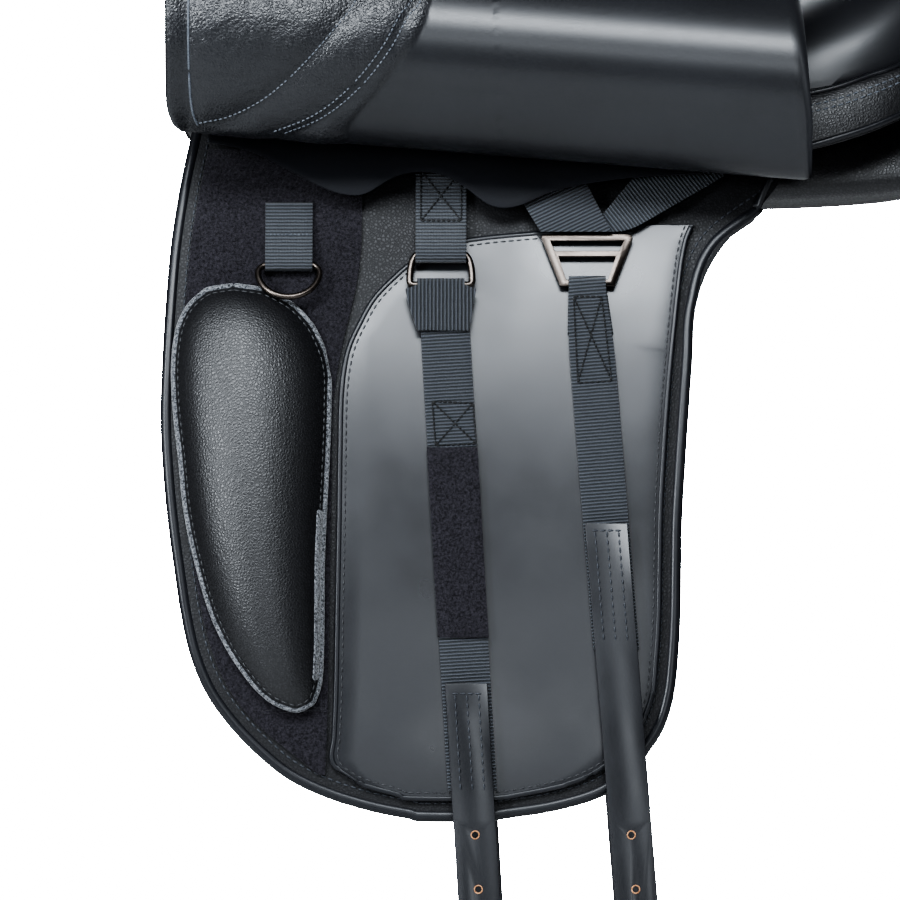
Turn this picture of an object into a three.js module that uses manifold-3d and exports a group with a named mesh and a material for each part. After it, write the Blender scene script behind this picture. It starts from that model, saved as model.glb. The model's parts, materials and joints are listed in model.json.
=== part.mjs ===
// An english dressage saddle with both outer flaps turned up over the seat, in millimetres.
//
// +Z is up, -X is towards the horse's head, and -Y is the near (left) side. The origin is on the
// centre line, level with the underside of the panels, where the saddle rests on the horse's back.
// The saddle is the same on both sides, so every side piece is made twice: side is -1 on the near
// side and +1 on the off side. A "distance" is how far a point lies from the centre line, and a
// "lift" is how far it lies outside the sweat flap.
import * as THREE from "three";
import { mergeVertices } from "three/addons/utils/BufferGeometryUtils.js";
import Module from "manifold-3d";

const manifold = await Module();
manifold.setup();

// ---- driving dimensions ----

const FLAP_BOTTOM = -362; // lowest point of the sweat flap
const FLAP_DISTANCE = 198; // of the sweat flap's lowest edge from the centre line
const SIDE_RADIUS = 1100; // of the arc that the sweat flap follows down the horse's side
const SWEAT_FLAP_TOP = 48;
const SWEAT_FLAP_THICKNESS = 5;

const PATCH = { lift: 0.5, thickness: 1.5 };
const GUARD = { lift: 0.5, thickness: 3 };
const VALANCE = { lift: 16, thickness: 1.5, top: 52, front: -232, rear: 60 };
const SKIRT = { thickness: 3.5, front: -232, hinge: -120, split: 96, rear: 246 };

const PANEL_RISE = { from: 40, rate: 0.00018 }; // how the panels curve up towards the rear
const KNEE_BLOCK = { lift: 2.5, edge: 3, crown: 23 };

const WEB = 1.6; // thickness of one layer of webbing
const WEB_WIDTH = 30;
const POINT_RING = { x: -184, z: -35, lift: 6.8, width: 37, height: 24, wire: 1.8, lean: 20 };
const FRONT_RING = { x: -94, top: -28, bottom: -47, lift: 10.1, width: 37, wire: 2 };
const BUCKLE = { x: -7.5, top: -19, bottom: -46, lift: 8.6, wide: 54, narrow: 32, bar: 4, plate: 2.5 };

const FRONT_STRAP = { x: -93, z: -47, slope: 0.06 };
const REAR_STRAP = { x: -8, z: -46, slope: 0.081 };
const BILLET = { width: 25, thickness: 4, end: -600, hole: 4, firstHole: -371, pitch: 32, holes: 7 };
const HOOK_STRIP = { top: -143, bottom: -255, lift: 6.9, thickness: 1.3, width: 30 };

// The outer flap leaves the saddle at its root, makes a roll, and stands up as a leaf that leans in
// over the seat. These are the corners of its underside, as distance and height at X = 0.
const OUTER_FLAP = {
  thickness: 4,
  tilt: 4.6, // how far the roll drops towards the rear, in degrees
  front: -256,
  rear: 125,
  root: [139.4, 50.8],
  corners: [[147, 28], [189, 23], [228, 96]],
  leaf: 240, // length of the leaf
  lean: 40, // of the leaf from upright, in degrees
};

const BAR = { x: -90, z: 72, length: 70, reach: 22, height: 12, stock: 5, catch: 14, fromEdge: 19 };

// ---- the side of the saddle ----

function sideDistance(z) {
  const height = Math.max(z, FLAP_BOTTOM) - FLAP_BOTTOM;
  return FLAP_DISTANCE - SIDE_RADIUS + Math.sqrt(SIDE_RADIUS ** 2 - height ** 2);
}

function onSide(side, x, z, lift) {
  return new THREE.Vector3(x, side * (sideDistance(z) + lift), z);
}

/** A smooth line through [a, b] pairs, as a function that gives b for any a in their range. */
function through(pairs) {
  const curve = new THREE.SplineCurve(pairs.map(([a, b]) => new THREE.Vector2(a, b)));
  const fine = curve.getPoints(pairs.length * 12);
  const rising = fine[0].x < fine[fine.length - 1].x;
  return (a) => {
    for (let i = 1; i < fine.length; i++) {
      const passed = rising ? fine[i].x >= a : fine[i].x <= a;
      if (passed || i === fine.length - 1) {
        const share = (a - fine[i - 1].x) / (fine[i].x - fine[i - 1].x);
        return fine[i - 1].y + (fine[i].y - fine[i - 1].y) * THREE.MathUtils.clamp(share, 0, 1);
      }
    }
  };
}

function steps(from, to, count) {
  return Array.from({ length: count + 1 }, (_, i) => from + ((to - from) * i) / count);
}

/** Heights from top to bottom that crowd together towards the bottom, where outlines turn in. */
function crowdedSteps(top, bottom, count) {
  return steps(0, 1, count).map((t) => top + (bottom - top) * Math.sin((t * Math.PI) / 2));
}

// ---- closed solids ----

/** A closed geometry from points and triangles, turned so that its faces point out. */
function solid(points, faces) {
  let volume = 0;
  for (let i = 0; i < faces.length; i += 3) {
    const [a, b, c] = [points[faces[i]], points[faces[i + 1]], points[faces[i + 2]]];
    volume += a.dot(new THREE.Vector3().crossVectors(b, c));
  }
  const geometry = new THREE.BufferGeometry().setFromPoints(points);
  geometry.setIndex(volume > 0 ? faces : faces.reverse());
  return geometry;
}

/** A sheet between two grids of points with the same rows and columns. */
function slab(outer, inner) {
  const rows = outer.length;
  const columns = outer[0].length;
  const at = (layer, i, j) => (layer * rows + i) * columns + j;
  const faces = [];
  const quad = (a, b, c, d) => faces.push(a, b, c, a, c, d);
  for (let i = 0; i < rows - 1; i++) {
    for (let j = 0; j < columns - 1; j++) {
      quad(at(0, i, j), at(0, i + 1, j), at(0, i + 1, j + 1), at(0, i, j + 1));
      quad(at(1, i, j), at(1, i, j + 1), at(1, i + 1, j + 1), at(1, i + 1, j));
    }
    const last = columns - 1;
    quad(at(0, i + 1, 0), at(0, i, 0), at(1, i, 0), at(1, i + 1, 0));
    quad(at(0, i, last), at(0, i + 1, last), at(1, i + 1, last), at(1, i, last));
  }
  for (let j = 0; j < columns - 1; j++) {
    const last = rows - 1;
    quad(at(0, 0, j), at(0, 0, j + 1), at(1, 0, j + 1), at(1, 0, j));
    quad(at(0, last, j + 1), at(0, last, j), at(1, last, j), at(1, last, j + 1));
  }
  return solid([...outer.flat(), ...inner.flat()], faces);
}

/** A solid through rings of points that all have the same number of points. */
function loft(rings) {
  const count = rings[0].length;
  const faces = [];
  for (let i = 0; i < rings.length - 1; i++) {
    for (let j = 0; j < count; j++) {
      const [a, b] = [i * count + j, i * count + ((j + 1) % count)];
      faces.push(a, a + count, b + count, a, b + count, b);
    }
  }
  const points = rings.flat();
  for (const [ring, flip] of [[0, false], [rings.length - 1, true]]) {
    const middle = new THREE.Vector3();
    rings[ring].forEach((p) => middle.addScaledVector(p, 1 / count));
    points.push(middle);
    for (let j = 0; j < count; j++) {
      const [a, b] = [ring * count + j, ring * count + ((j + 1) % count)];
      faces.push(points.length - 1, flip ? b : a, flip ? a : b);
    }
  }
  return solid(points, faces);
}

/** Round wire bent into a closed flat loop. axis is at right angles to the loop. */
function wireLoop(line, axis, radius) {
  const sides = 8;
  const faces = [];
  const points = line.flatMap((p, i) => {
    const before = line[(i + line.length - 1) % line.length];
    const after = line[(i + 1) % line.length];
    const out = new THREE.Vector3().subVectors(after, before).cross(axis).normalize();
    return steps(0, 2 * Math.PI, sides).slice(1).map((turn) =>
      p.clone().addScaledVector(out, radius * Math.cos(turn)).addScaledVector(axis, radius * Math.sin(turn)));
  });
  for (let i = 0; i < line.length; i++) {
    for (let j = 0; j < sides; j++) {
      const [k, n] = [(i + 1) % line.length, (j + 1) % sides];
      faces.push(i * sides + j, k * sides + j, k * sides + n);
      faces.push(i * sides + j, k * sides + n, i * sides + n);
    }
  }
  return solid(points, faces);
}

/** A sheet on the saddle's side between a front and a rear edge, each given as X for a height. */
function sidePanel(side, front, rear, heights, columns, lift, thickness) {
  const grid = (extra) => heights.map((z, row) =>
    steps(front(z), rear(z), columns).map((x, column) =>
      onSide(side, x, z, lift + extra(row / (heights.length - 1), column / columns))));
  const depth = typeof thickness === "number" ? () => thickness : thickness;
  return slab(grid(depth), grid(() => 0));
}

/** A flat strap. line holds its middle as { x, z, lift }, from one end to the other. */
function strap(side, line, widths, thickness) {
  const middle = line.map(({ x, z, lift }) => onSide(side, x, z, lift));
  const grid = (offset) => middle.map((p, i) => {
    const along = new THREE.Vector3()
      .subVectors(middle[Math.min(i + 1, middle.length - 1)], middle[Math.max(i - 1, 0)]);
    along.x = 0;
    const out = new THREE.Vector3(1, 0, 0).cross(along).normalize().multiplyScalar(offset);
    const half = (typeof widths === "number" ? widths : widths[i]) / 2;
    return [-half, half].map((across) => p.clone().add(out).add(new THREE.Vector3(across, 0, 0)));
  });
  return slab(grid(thickness / 2), grid(-thickness / 2));
}

/** The middle of a strap's fold around a bar, from behind the bar to in front of it. */
function fold(bar, radius, under) {
  const half = Math.PI / 2;
  return steps(-half, half, 6).map((turn) => ({
    x: bar.x,
    z: bar.z + (under ? -1 : 1) * radius * Math.cos(turn),
    lift: bar.lift + radius * Math.sin(turn),
  }));
}

/** Webbing that lies flat on the side between two end edges, each { lift, from: [x, z], to: [x, z] }. */
function band(side, start, end, thickness) {
  const grid = (extra) => steps(0, 1, 4).map((along) => steps(0, 1, 2).map((across) => {
    const edges = [start, end].map(({ from, to }) => [0, 1].map((k) => THREE.MathUtils.lerp(from[k], to[k], across)));
    const [x, z] = [0, 1].map((k) => THREE.MathUtils.lerp(edges[0][k], edges[1][k], along));
    return onSide(side, x, z, THREE.MathUtils.lerp(start.lift, end.lift, along) + extra);
  }));
  return slab(grid(thickness), grid(0));
}

function asManifold(geometry) {
  const bare = geometry.clone();
  bare.deleteAttribute("normal");
  bare.deleteAttribute("uv");
  const merged = mergeVertices(bare, 1e-4);
  return new manifold.Manifold(new manifold.Mesh({
    numProp: 3,
    vertProperties: new Float32Array(merged.attributes.position.array),
    triVerts: new Uint32Array(merged.index.array),
  }));
}

/** The geometry with every cutter taken away from it. */
function cut(geometry, cutters) {
  const left = cutters.reduce((body, cutter) => body.subtract(asManifold(cutter)), asManifold(geometry));
  const mesh = left.getMesh();
  const result = new THREE.BufferGeometry();
  result.setAttribute("position", new THREE.BufferAttribute(mesh.vertProperties, 3));
  result.setIndex(new THREE.BufferAttribute(mesh.triVerts, 1));
  return result;
}

// ---- materials ----

function finish(color, roughness, metalness = 0) {
  return new THREE.MeshStandardMaterial({ color, roughness, metalness });
}

const smoothLeather = finish(0x1a1c20, 0.42);
const grainedLeather = finish(0x141518, 0.5);
const webbing = finish(0x23272e, 0.75);
const hookAndLoop = finish(0x121016, 0.95);
const gunmetal = finish(0x6a625a, 0.3, 1);
const treeMaterial = finish(0x2b2b2b, 0.6);
const steel = finish(0x8a8d90, 0.4, 1);
const foam = finish(0x3a3a3c, 0.9);

const saddle = new THREE.Group();

function add(name, geometry, material) {
  const mesh = new THREE.Mesh(geometry, material);
  mesh.name = name;
  saddle.add(mesh);
  return mesh;
}

// ---- seat, tree and panels ----

const seatCrown = through([[-236, 172], [-215, 176], [-150, 142], [-80, 114], [-10, 107], [70, 119], [140, 150],
  [200, 188], [232, 203], [248, 178]]);
const seatEdge = through([[-236, 104], [-190, 93], [-100, 86], [0, 77], [96, 67], [118, 66], [177, 83], [248, 112]]);
const seatHalfWidth = through([[-236, 40], [-215, 62], [-170, 88], [-100, 113], [0, 132], [96, 139], [140, 138],
  [185, 126], [215, 100], [236, 64], [248, 26]]);
const SEAT_STATIONS = [-236, -228, -212, -180, -140, -95, -50, 0, 50, 96, 130, 160, 190, 212, 228, 240, 248];
const SEAT_COLUMNS = 14;

/** A grid over the seat. v runs from the near edge, -1, to the off edge, +1. */
function seatGrid(stations, halfWidth, height) {
  return stations.map((x) => steps(-1, 1, SEAT_COLUMNS).map((v) =>
    new THREE.Vector3(x, Math.sin((v * Math.PI) / 2) * halfWidth(x), height(x, Math.cos((v * Math.PI) / 2)))));
}

function seatHeight(x, rise) {
  return seatEdge(x) + (seatCrown(x) - seatEdge(x)) * rise ** 0.85;
}

function treeHeight(x, rise) {
  return seatEdge(x) - 8 + (seatCrown(x) - seatEdge(x) - 28) * rise;
}

function buildSeat() {
  const inside = SEAT_STATIONS.filter((x) => x > -225 && x < 235);
  const treeHalfWidth = (x) => seatHalfWidth(x) - 22;
  const cover = slab(
    seatGrid(SEAT_STATIONS, seatHalfWidth, seatHeight),
    seatGrid(SEAT_STATIONS, (x) => seatHalfWidth(x) - 2.5, (x, rise) => seatHeight(x, rise) - 2.5),
  );
  add("seat_cover", cover, smoothLeather);
  const seatFoam = slab(
    seatGrid(inside, (x) => seatHalfWidth(x) - 6, (x, rise) => seatHeight(x, rise) - 6 + 3 * (1 - rise)),
    seatGrid(inside, treeHalfWidth, (x, rise) => treeHeight(x, rise) + 0.6),
  );
  add("seat_foam", seatFoam, foam);
  const tree = slab(
    seatGrid(inside, treeHalfWidth, treeHeight),
    seatGrid(inside, treeHalfWidth, (x, rise) => treeHeight(x, rise) - 8),
  );
  add("tree", tree, treeMaterial);
}

function buildGulletPlate() {
  const arch = new THREE.Shape();
  const [half, foot, top, stock] = [84, 4, 92, 5];
  arch.moveTo(-half, foot);
  arch.bezierCurveTo(-half + 12, foot + 52, -36, top, 0, top);
  arch.bezierCurveTo(36, top, half - 12, foot + 52, half, foot);
  arch.lineTo(half - stock, foot);
  arch.bezierCurveTo(half - 12 - stock, foot + 48, 34, top - stock, 0, top - stock);
  arch.bezierCurveTo(-34, top - stock, -half + 12 + stock, foot + 48, -half + stock, foot);
  const geometry = new THREE.ExtrudeGeometry(arch, { depth: 26, bevelEnabled: false, curveSegments: 8 });
  geometry.rotateX(Math.PI / 2);
  geometry.rotateZ(Math.PI / 2);
  geometry.translate(-222, 0, 0);
  add("gullet_plate", geometry, steel);
}

function buildPanel(side, name) {
  const stations = [-180, -170, -120, -40, 40, 105, 150, 190, 216, 230];
  const fullness = through([[-180, 0.72], [-165, 0.94], [-120, 1], [40, 1], [150, 0.98], [200, 0.86], [230, 0.45]]);
  const outline = [[34, 10], [50, 1], [80, 0], [110, 1], [122, 8], [116, 26], [106, 44], [92, 52], [60, 55], [38, 48]];
  const [middleY, middleZ] = [78, 30];
  const rings = stations.map((x) => {
    const rise = PANEL_RISE.rate * Math.max(0, x - PANEL_RISE.from) ** 2;
    return outline.map(([y, z]) => new THREE.Vector3(
      x,
      side * (middleY + (y - middleY) * fullness(x)),
      middleZ + (z - middleZ) * fullness(x) + rise,
    ));
  });
  add(`${name}_panel`, loft(rings), grainedLeather);
}

// ---- sweat flap and what is sewn to it ----

const sweatFlapFront = through([[48, -240], [9, -248], [-38, -254], [-115, -258], [-162, -256], [-205, -251],
  [-254, -243], [-285, -232], [-312, -212], [-338, -182], [-353, -146], [-362, -105]]);
const sweatFlapRear = through([[48, 114], [10, 112], [2, 105], [-4, 95], [-15, 80], [-25, 67], [-41, 58], [-94, 53],
  [-185, 47], [-240, 46], [-289, 42], [-315, 32], [-343, 8], [-355, -24], [-362, -68]]);
const patchFront = through([[34, -232], [9, -238], [-38, -244], [-115, -248], [-162, -246], [-205, -241],
  [-250, -233], [-283, -221], [-305, -204], [-326, -178], [-336, -166]]);
const patchRear = through([[34, -141], [-50, -141.5], [-75, -151], [-100, -157], [-174, -158.5], [-300, -160.5],
  [-336, -162]]);
const guardFront = through([[-11, 20], [-15, -40], [-18, -71], [-21, -88], [-32, -111], [-41, -122], [-52, -133],
  [-67, -142], [-85, -150], [-112, -154], [-174, -155], [-234, -156], [-290, -157], [-330, -158.5], [-337, -156],
  [-351, -112]]);
const guardRear = through([[-11, 56], [-31, 50], [-94, 43], [-139, 39.5], [-185, 37], [-240, 36], [-289, 32],
  [-308, 25], [-332, 4], [-345, -26], [-351, -66]]);
const valanceEdge = through([[-232, 38], [-205, 32], [-186, 22], [-167, 12], [-153, 6.5], [-138, 6], [-128, 14],
  [-115, 19.5], [-98, 20], [-85, 15], [-77, 9], [-67, 0], [-57, -2], [-47, -0.5], [-32, 7], [-13, 12], [18, 16.5],
  [60, 19]]);

function buildSweatFlap(side, name) {
  const flap = sidePanel(side, sweatFlapFront, sweatFlapRear, crowdedSteps(SWEAT_FLAP_TOP, FLAP_BOTTOM, 18), 4,
    -SWEAT_FLAP_THICKNESS, SWEAT_FLAP_THICKNESS);
  add(`${name}_sweat_flap`, flap, smoothLeather);
  const patch = sidePanel(side, patchFront, patchRear, crowdedSteps(34, -336, 16), 1, PATCH.lift, PATCH.thickness);
  add(`${name}_hook_and_loop_patch`, patch, hookAndLoop);
  const guardHeights = [-11, -13, -15, -18, -22, -32, -42, -54, -68, -86, ...crowdedSteps(-110, -351, 11)];
  const guard = sidePanel(side, guardFront, guardRear, guardHeights, 3, GUARD.lift, GUARD.thickness);
  add(`${name}_girth_guard`, guard, smoothLeather);
}

function buildValance(side, name) {
  const grid = (lift) => steps(0, 1, 2).map((t) => steps(VALANCE.front, VALANCE.rear, 28).map((x) =>
    onSide(side, x, THREE.MathUtils.lerp(VALANCE.top, valanceEdge(x), t), lift)));
  add(`${name}_valance`, slab(grid(VALANCE.lift + VALANCE.thickness), grid(VALANCE.lift)), smoothLeather);
}

const blockFront = through([[-47, -229], [-57, -242], [-70, -249], [-87, -252.5], [-116, -252], [-142, -249],
  [-173, -246], [-195, -242], [-231, -233], [-261, -220], [-285, -203], [-295, -190], [-298, -184]]);
const blockRear = through([[-47, -204], [-54, -188], [-63, -176], [-77, -166], [-94, -160], [-112, -159],
  [-162, -160.5], [-189, -162], [-221, -163], [-254, -163], [-283, -164.5], [-295, -170], [-298, -174]]);

function buildKneeBlock(side, name) {
  const heights = [-47, -49, -52, -57, -64, -75, -95, -120, -150, -180, -210, -240, -262, -280, -290, -295, -298];
  const depth = (down, across) => {
    const ends = Math.sin(Math.PI * (0.02 + 0.95 * down)) ** 0.9;
    const edges = Math.sin(Math.PI * across) ** 0.6;
    return KNEE_BLOCK.edge + KNEE_BLOCK.crown * ends * edges;
  };
  const block = sidePanel(side, blockFront, blockRear, heights, 10, KNEE_BLOCK.lift, depth);
  add(`${name}_knee_block`, block, grainedLeather);
}

// ---- straps and their rings ----

const webCentre = GUARD.lift + GUARD.thickness + 1.9; // lift of the middle of a strap on the guard

function buildPointStrap(side, name) {
  const ring = POINT_RING;
  const radius = ring.wire + 0.6 + WEB / 2;
  const tab = [
    { x: ring.x, z: -18, lift: ring.lift - radius },
    ...fold(ring, radius, true),
    { x: ring.x, z: -18, lift: 5 },
    { x: ring.x, z: -8, lift: 3.4 },
    { x: ring.x, z: 2, lift: 3.2 },
  ];
  add(`${name}_point_strap_tab`, strap(side, tab, WEB_WIDTH - 2, WEB), webbing);
  const half = ring.width / 2;
  const line = [new THREE.Vector3(half - 3, 0, 0), new THREE.Vector3(half - 10, 0, 0),
    new THREE.Vector3(-half + 10, 0, 0), new THREE.Vector3(-half + 3, 0, 0)];
  for (const turn of steps(-0.04, Math.PI + 0.04, 14)) {
    line.push(new THREE.Vector3(-half * Math.cos(turn), 0, -5 - (ring.height - 5) * Math.sin(turn)));
  }
  const dee = add(`${name}_point_strap_dee`, wireLoop(line, new THREE.Vector3(0, 1, 0), ring.wire), gunmetal);
  dee.position.copy(onSide(side, ring.x, ring.z, ring.lift));
  dee.rotation.x = side * THREE.MathUtils.degToRad(17 + ring.lean);
}

/** Points on a strap that runs down the saddle's side, slanting back as it goes. */
function down(start, heights, lift) {
  return heights.map((z) => ({ x: start.x + start.slope * (start.z - z), z, lift }));
}

function buildBillet(side, name, start, top) {
  const lift = webCentre + 3.6;
  const tip = BILLET.end;
  const heights = [...steps(top, FLAP_BOTTOM, Math.ceil((top - FLAP_BOTTOM) / 45)), tip + 14, tip + 5, tip];
  const widths = heights.map(() => BILLET.width);
  widths.splice(-2, 2, BILLET.width - 8, 6);
  const blank = strap(side, down(start, heights, lift), widths, BILLET.thickness);
  const punches = steps(0, BILLET.holes - 1, BILLET.holes - 1).map((i) => {
    const z = BILLET.firstHole - i * BILLET.pitch;
    const punch = new THREE.CylinderGeometry(BILLET.hole / 2, BILLET.hole / 2, 20, 8);
    const centre = onSide(side, start.x + start.slope * (start.z - z), z, lift);
    return punch.translate(centre.x, centre.y, centre.z);
  });
  add(name, cut(blank, punches), smoothLeather);
}

function buildFrontStrap(side, name) {
  const ring = FRONT_RING;
  const topBar = { x: ring.x, z: ring.top, lift: ring.lift };
  const bottomBar = { x: ring.x, z: ring.bottom, lift: ring.lift };
  const anchorRadius = 4.8 + WEB / 2;
  const anchor = [
    { x: ring.x, z: -14, lift: ring.lift - anchorRadius },
    ...fold(topBar, anchorRadius, true),
    { x: ring.x, z: -18, lift: 11.5 },
    { x: ring.x, z: -6, lift: 5.6 },
    { x: ring.x, z: 6, lift: 4.4 },
    { x: ring.x, z: 46, lift: 4.4 },
  ];
  add(`${name}_front_strap_anchor`, strap(side, anchor, WEB_WIDTH, WEB), webbing);

  const half = ring.width / 2;
  const across = sideDistance(ring.bottom) - sideDistance(ring.top);
  const drop = Math.hypot(ring.top - ring.bottom, across);
  const shape = new THREE.Shape();
  shape.moveTo(-12, 0);
  shape.bezierCurveTo(-half + 1, 0, -half, -drop + 10, -half, -drop + 3);
  shape.quadraticCurveTo(-half, -drop, -half + 3, -drop);
  shape.lineTo(half - 3, -drop);
  shape.quadraticCurveTo(half, -drop, half, -drop + 3);
  shape.bezierCurveTo(half, -drop + 10, half - 1, 0, 12, 0);
  shape.closePath();
  const line = shape.getPoints(5).slice(0, -1).map((p) => new THREE.Vector3(p.x, 0, p.y));
  const dee = add(`${name}_front_strap_dee`, wireLoop(line, new THREE.Vector3(0, 1, 0), ring.wire), gunmetal);
  dee.position.copy(onSide(side, ring.x, ring.top, ring.lift));
  dee.rotation.x = side * Math.asin(across / drop);

  const collar = [
    { x: ring.x + 1.5, z: -74, lift: 5 },
    { x: ring.x, z: -56, lift: 5.2 },
    ...fold(bottomBar, ring.wire + 0.6 + WEB / 2, false),
    { x: ring.x, z: -49.5, lift: 13 },
    { x: ring.x, z: -58, lift: 12.2 },
    { x: ring.x + 1.5, z: -74, lift: 10.8 },
  ];
  const collarWidths = collar.map(() => WEB_WIDTH - 2);
  collarWidths.splice(-3, 3, 42, 39, 31);
  add(`${name}_front_strap_collar`, strap(side, collar, collarWidths, WEB), webbing);

  const webTop = [...down(FRONT_STRAP, [-54], 8.7), ...down(FRONT_STRAP, [-74], 7.8)];
  const web = [...webTop, ...down(FRONT_STRAP, steps(-100, -345, 6), webCentre)];
  add(`${name}_front_strap_web`, strap(side, web, WEB_WIDTH - 1, WEB + 0.6), webbing);
  const strip = down(FRONT_STRAP, steps(HOOK_STRIP.top, HOOK_STRIP.bottom, 3), HOOK_STRIP.lift + 0.65);
  add(`${name}_front_strap_hook_strip`, strap(side, strip, HOOK_STRIP.width, HOOK_STRIP.thickness), hookAndLoop);
  buildBillet(side, `${name}_front_billet`, FRONT_STRAP, -282);
}

function buildRearStrap(side, name) {
  const { x, top, bottom, lift, wide, narrow, bar, plate } = BUCKLE;
  const trapezoid = (halfTop, halfBottom, high, low) => {
    const path = new THREE.Path();
    path.moveTo(-halfTop, high);
    path.lineTo(-halfBottom, low);
    path.lineTo(halfBottom, low);
    path.lineTo(halfTop, high);
    path.closePath();
    return path;
  };
  const across = sideDistance(bottom) - sideDistance(top);
  const drop = Math.hypot(top - bottom, across);
  const frame = new THREE.Shape();
  frame.moveTo(-wide / 2, -1);
  frame.lineTo(-narrow / 2, -drop - bar / 2);
  frame.lineTo(narrow / 2, -drop - bar / 2);
  frame.lineTo(wide / 2, -1);
  frame.quadraticCurveTo(wide / 2 + 0.5, bar / 2, wide / 2 - 5, bar / 2);
  frame.lineTo(-wide / 2 + 5, bar / 2);
  frame.quadraticCurveTo(-wide / 2 - 0.5, bar / 2, -wide / 2, -1);
  frame.holes.push(trapezoid(wide / 2 - 5.2, wide / 2 - 8, -bar / 2, -8.5));
  frame.holes.push(trapezoid(wide / 2 - 10, narrow / 2 - 3.6, -12, -drop + bar / 2));
  const geometry = new THREE.ExtrudeGeometry(frame, { depth: plate, bevelEnabled: false, curveSegments: 4 });
  geometry.translate(0, 0, -plate / 2);
  geometry.rotateX(Math.PI / 2);
  const buckle = add(`${name}_girth_buckle_frame`, geometry, gunmetal);
  buckle.position.copy(onSide(side, x, top, lift));
  buckle.rotation.x = side * Math.asin(across / drop);

  const web = [
    ...down(REAR_STRAP, [-76], 4.9),
    ...fold({ x, z: bottom, lift }, 3 + WEB / 2, false),
    ...down(REAR_STRAP, [-56], 11.8),
    ...down(REAR_STRAP, [-80], 8),
    ...down(REAR_STRAP, steps(-110, -262, 4), webCentre),
  ];
  const webWidths = web.map(({ z }) => (z > -70 ? 22 : WEB_WIDTH - 3));
  add(`${name}_rear_strap_web`, strap(side, web, webWidths, WEB), webbing);
  buildBillet(side, `${name}_rear_billet`, REAR_STRAP, -188);

  const arms = {
    front: [{ lift: 12.8, from: [-35, -15.5], to: [7, -15.5] }, { lift: 7.4, from: [-57, 20], to: [-20, 37] }],
    rear: [{ lift: 10.6, from: [-7, -15.5], to: [17, -15.5] }, { lift: 4.6, from: [44, 46], to: [74, 18] }],
  };
  for (const [arm, [start, end]] of Object.entries(arms)) {
    add(`${name}_v_web_${arm}_arm`, band(side, start, end, WEB), webbing);
  }
}

// ---- outer flap, skirt and stirrup bar ----

function buildOuterFlap(side, name) {
  const { thickness, tilt, front, rear, root, corners, leaf, lean } = OUTER_FLAP;
  const gap = 0.3;
  const slope = Math.tan(THREE.MathUtils.degToRad(tilt));
  const turn = THREE.MathUtils.degToRad(lean);
  const last = corners[corners.length - 1];
  const tip = [last[0] - leaf * Math.sin(turn), last[1] + leaf * Math.cos(turn)];
  const line = [root, ...corners, tip].map(([y, z]) => new THREE.Vector2(y, z));
  const concave = line.slice(1).map((p, i) => {
    const along = new THREE.Vector2().subVectors(p, line[i]).normalize();
    return new THREE.Vector2(-along.y, along.x);
  });
  const place = (x, p) => new THREE.Vector3(x, side * p.x, p.y - slope * x);
  const names = ["flap_root", "flap_roll_inner", "flap_roll_outer", "outer_flap"];
  names.forEach((piece, i) => {
    const [start, end] = [line[i], line[i + 1]];
    const along = new THREE.Vector2().subVectors(end, start).normalize();
    const inner = (p, mitre) => p.clone().addScaledVector(concave[i], thickness).addScaledVector(along, mitre);
    const mitreAt = (k) => (k < 0 || k > 2 ? 0 : thickness * Math.tan(bend(concave[k], concave[k + 1]) / 2));
    const startInner = inner(start, mitreAt(i - 1) + (i > 0 ? gap : 0));
    const endInner = inner(end, -mitreAt(i) - (i < 3 ? gap : 0));
    const startOuter = start.clone().addScaledVector(along, i > 0 ? gap : 0);
    const endOuter = end.clone().addScaledVector(along, i < 3 ? -gap : 0);
    const length = start.distanceTo(end);
    const shares = i < 3 ? [0, 1] : [0, 0.45, 0.7, 0.85, 0.94, 1];
    const rows = (a, b) => shares.map((t) => {
      const p = a.clone().lerp(b, t);
      const taper = i < 3 ? 0 : cornerInset(t * length, length);
      const narrowing = i < 3 ? 0 : 22 * t;
      return steps(front + taper, rear - taper - narrowing, 4).map((x) => place(x, p));
    });
    add(`${name}_${piece}`, slab(rows(startOuter, endOuter), rows(startInner, endInner)), smoothLeather);
  });
}

/** The angle between two directions. */
function bend(a, b) {
  return Math.acos(THREE.MathUtils.clamp(a.dot(b), -1, 1));
}

/** How far in an edge lies near the flap's end, where the corners are rounded. */
function cornerInset(along, length) {
  const radius = 95;
  const into = Math.max(0, along - (length - radius));
  return radius - Math.sqrt(radius ** 2 - into ** 2);
}

/** The skirt's section from the seat's edge, out and then down, as a point for a share of the way. */
function skirtPoint(side, x, share, top, low, extra) {
  const turn = (share * Math.PI) / 2;
  const y = top[0] + (low[0] - top[0]) * Math.sin(turn) + extra;
  return new THREE.Vector3(x, side * y, low[1] + (top[1] - low[1]) * Math.cos(turn) + extra * Math.cos(turn));
}

function skirtSheet(side, stations, top, low) {
  const grid = (extra) => steps(0, 1, 4).map((share) =>
    stations.map((x) => skirtPoint(side, x, share, top(x), low(x), extra)));
  return slab(grid(SKIRT.thickness), grid(0));
}

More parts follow.
